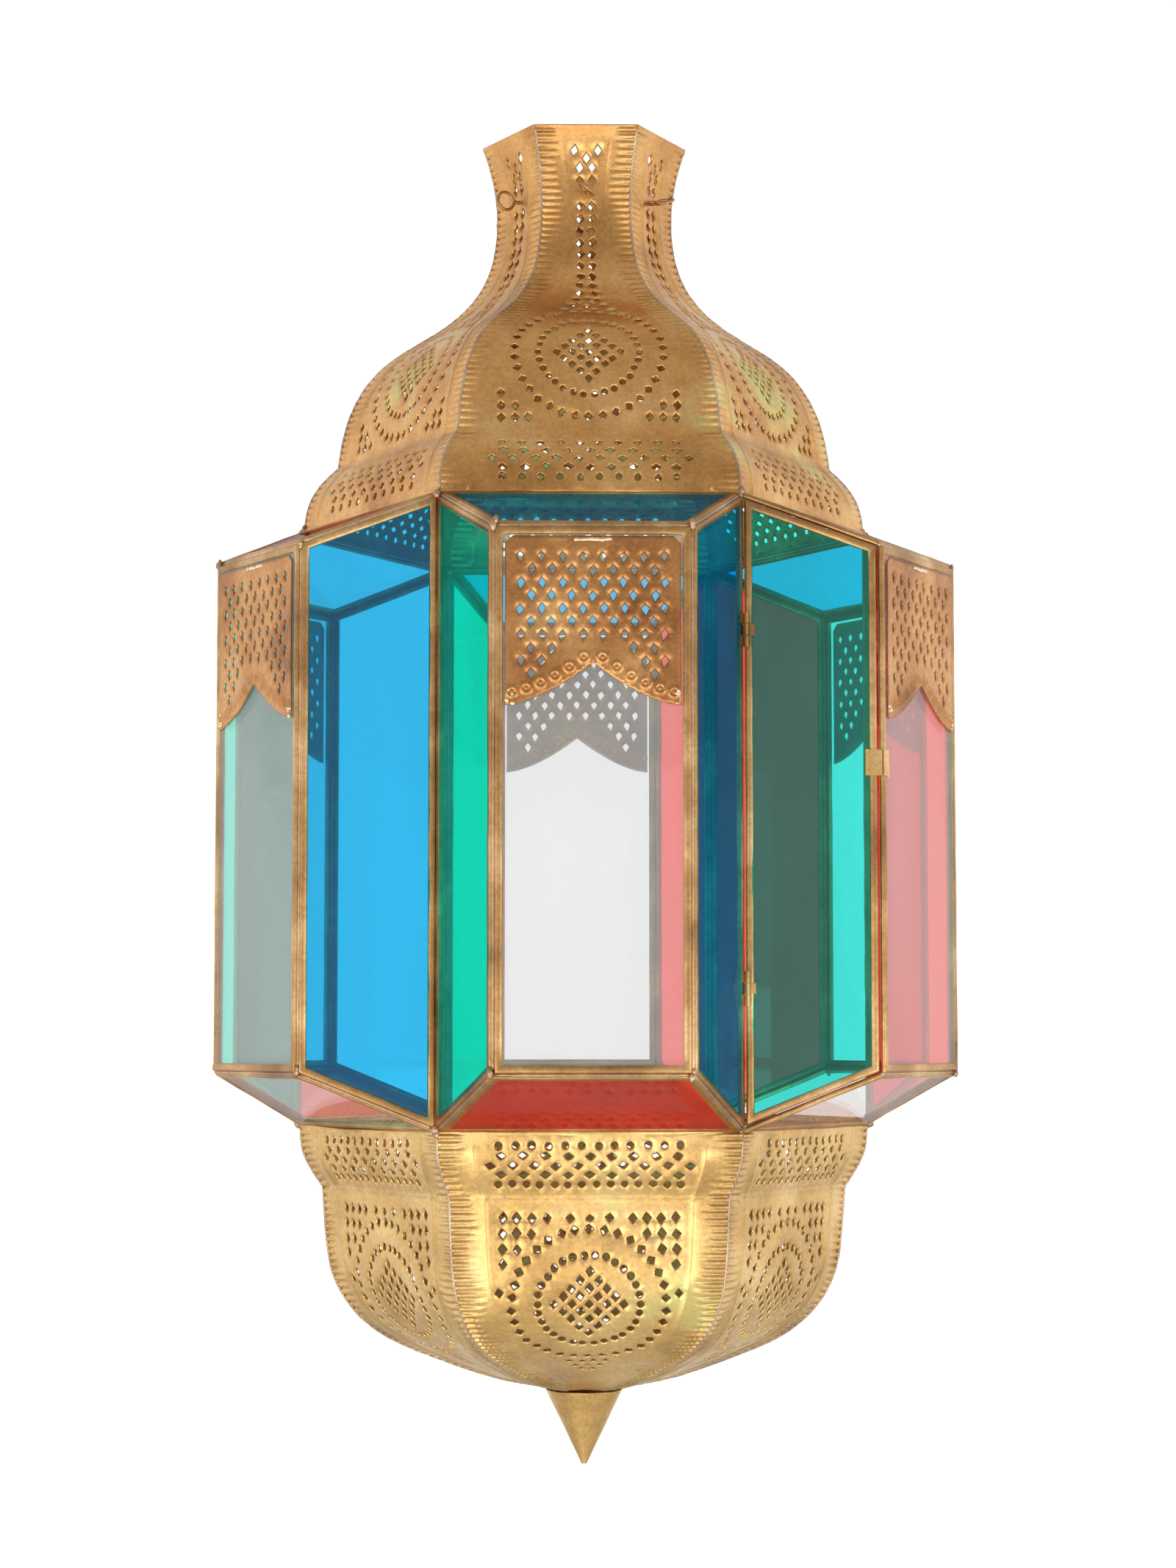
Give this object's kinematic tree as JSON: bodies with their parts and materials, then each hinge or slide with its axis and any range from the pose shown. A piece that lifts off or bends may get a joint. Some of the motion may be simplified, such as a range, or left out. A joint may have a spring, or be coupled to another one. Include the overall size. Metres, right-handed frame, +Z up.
{
  "type": "hanging lantern",
  "caption": "Star-shaped hanging lantern of pierced brass sheet and coloured glass bays, with a domed top, pointed bowl and hinged glass door.",
  "frame": {"origin": "tip of the finial, on the lantern's axis, which is also the middle of its box at the bottom", "axes": "+Z up along the axis, -Y out of the front bay, +X to the right of someone facing the front"},
  "size_m": [0.358, 0.3642, 0.66],
  "materials": {
    "dome_brass": "aged, with a greenish yellow patina",
    "bowl_brass": "aged, brighter than the dome",
    "arch_brass": "coppery brown, heat stained",
    "came_brass": "folded strip, tarnished",
    "latch_brass": "folded strip, worn bright",
    "wire_brass": "drawn wire, dull",
    "clear_glass": "clear, faintly grey green",
    "pale_glass": "pale mint",
    "blue_glass": "blue, painted on the back",
    "green_glass": "sea green",
    "emerald_glass": "emerald",
    "red_glass": "ruby red"
  },
  "bodies": {
    "lantern": {"dome_gore_1": "dome_brass", "bowl_gore_1": "bowl_brass", "window_glass_1": "clear_glass", "arch_plate_1": "arch_brass", "roof_glass_1": "blue_glass", "sill_glass_1": "red_glass", "bay_came_1": "came_brass", "dome_gore_2": "dome_brass", "bowl_gore_2": "bowl_brass", "window_glass_2": "clear_glass", "arch_plate_2": "arch_brass", "roof_glass_2": "pale_glass", "sill_glass_2": "pale_glass", "bay_came_2": "came_brass", "dome_gore_3": "dome_brass", "bowl_gore_3": "bowl_brass", "window_glass_3": "clear_glass", "arch_plate_3": "arch_brass", "roof_glass_3": "blue_glass", "sill_glass_3": "pale_glass", "bay_came_3": "came_brass", "dome_gore_4": "dome_brass", "bowl_gore_4": "bowl_brass", "window_glass_4": "clear_glass", "arch_plate_4": "arch_brass", "roof_glass_4": "blue_glass", "sill_glass_4": "blue_glass", "bay_came_4": "came_brass", "dome_gore_5": "dome_brass", "bowl_gore_5": "bowl_brass", "window_glass_5": "clear_glass", "arch_plate_5": "arch_brass", "roof_glass_5": "pale_glass", "sill_glass_5": "red_glass", "bay_came_5": "came_brass", "dome_gore_6": "dome_brass", "bowl_gore_6": "bowl_brass", "window_glass_6": "clear_glass", "arch_plate_6": "arch_brass", "roof_glass_6": "red_glass", "sill_glass_6": "pale_glass", "bay_came_6": "came_brass", "side_glass_green": "green_glass", "side_glass_blue": "blue_glass", "side_glass_red": "red_glass", "side_glass_pale": "pale_glass", "finial_cone": "bowl_brass", "door_hinge": "came_brass", "door_pins": "wire_brass", "latch_base": "latch_brass"},
    "door": {"door_glass": "emerald_glass", "door_came": "came_brass"},
    "latch": {"latch_clasp": "latch_brass"},
    "eye_1": {"hook_1": "wire_brass"},
    "eye_2": {"hook_2": "wire_brass"},
    "eye_3": {"hook_3": "wire_brass"},
    "eye_4": {"hook_4": "wire_brass"},
    "eye_5": {"hook_5": "wire_brass"},
    "eye_6": {"hook_6": "wire_brass"}
  },
  "joints": [
    {"name": "door_swing", "type": "hinge", "parent": "lantern", "child": "door", "pos_m": [0.0725, -0.12557, 0.315], "axis": [0, 0, -1], "range_deg": [0, 95]},
    {"name": "latch_swing", "type": "hinge", "parent": "lantern", "child": "latch", "pos_m": [0.1352, -0.13082, 0.336], "axis": [0, 0, 1], "range_deg": [0, 80]},
    {"name": "eye_1_swivel", "type": "hinge", "parent": "lantern", "child": "eye_1", "pos_m": [0, -0.0382, 0.627], "axis": [0, -1, 0], "continuous": true},
    {"name": "eye_2_swivel", "type": "hinge", "parent": "lantern", "child": "eye_2", "pos_m": [0.03308, -0.0191, 0.627], "axis": [0.866, -0.5, 0], "continuous": true},
    {"name": "eye_3_swivel", "type": "hinge", "parent": "lantern", "child": "eye_3", "pos_m": [0.03308, 0.0191, 0.627], "axis": [0.866, 0.5, 0], "continuous": true},
    {"name": "eye_4_swivel", "type": "hinge", "parent": "lantern", "child": "eye_4", "pos_m": [0, 0.0382, 0.627], "axis": [0, 1, 0], "continuous": true},
    {"name": "eye_5_swivel", "type": "hinge", "parent": "lantern", "child": "eye_5", "pos_m": [-0.03308, 0.0191, 0.627], "axis": [-0.866, 0.5, 0], "continuous": true},
    {"name": "eye_6_swivel", "type": "hinge", "parent": "lantern", "child": "eye_6", "pos_m": [-0.03308, -0.0191, 0.627], "axis": [-0.866, -0.5, 0], "continuous": true}
  ]
}
